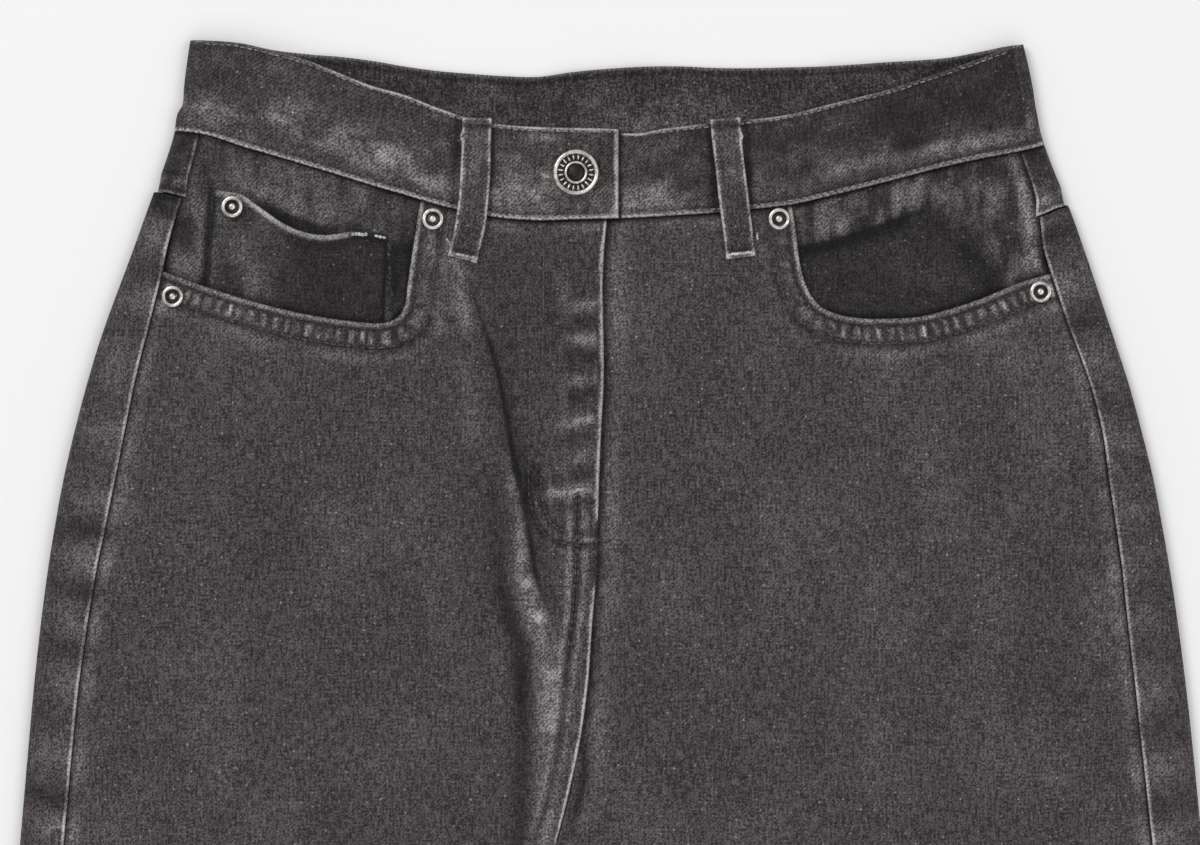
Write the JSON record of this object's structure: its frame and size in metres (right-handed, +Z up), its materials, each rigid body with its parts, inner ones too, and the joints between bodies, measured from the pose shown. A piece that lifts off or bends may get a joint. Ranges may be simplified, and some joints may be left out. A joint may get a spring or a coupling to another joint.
{
  "type": "wide-leg jeans",
  "caption": "Washed-black high-rise wide-leg jeans with scooped front pockets, belt loops and a waist button, laid flat front side up.",
  "frame": {"origin": "middle of the garment's bounding box, at the surface it lies on", "axes": "+X to the wearer's left, +Y from the hems to the waist, +Z up from the surface, out of the front of the garment"},
  "size_m": [0.5926, 1.055, 0.0128],
  "materials": {
    "denim": "washed-black twill with lighter, worn seam edges",
    "denim_band": "washed-black twill, folded band; its inner face is a shade darker",
    "denim_facing": "washed-black twill, less worn inside the pocket openings",
    "denim_loops": "washed-black twill strips with worn edges",
    "antique_metal": "dark antique metal with bright worn rims"
  },
  "bodies": {
    "root": {"back_right": "denim", "back_left": "denim", "yoke_right": "denim", "yoke_left": "denim", "front_right": "denim", "front_left": "denim", "waistband": "denim_band", "pocket_facing_right": "denim_facing", "pocket_facing_left": "denim_facing", "coin_pocket": "denim_facing", "loop_front_right": "denim_loops", "loop_front_left": "denim_loops", "loop_back_right": "denim_loops", "loop_back_centre": "denim_loops", "loop_back_left": "denim_loops", "back_pocket_right": "denim", "back_pocket_left": "denim", "rivet_pocket_right": "antique_metal", "rivet_side_right": "antique_metal", "rivet_pocket_left": "antique_metal", "rivet_side_left": "antique_metal", "rivet_coin": "antique_metal", "button": "antique_metal"}
  },
  "joints": []
}
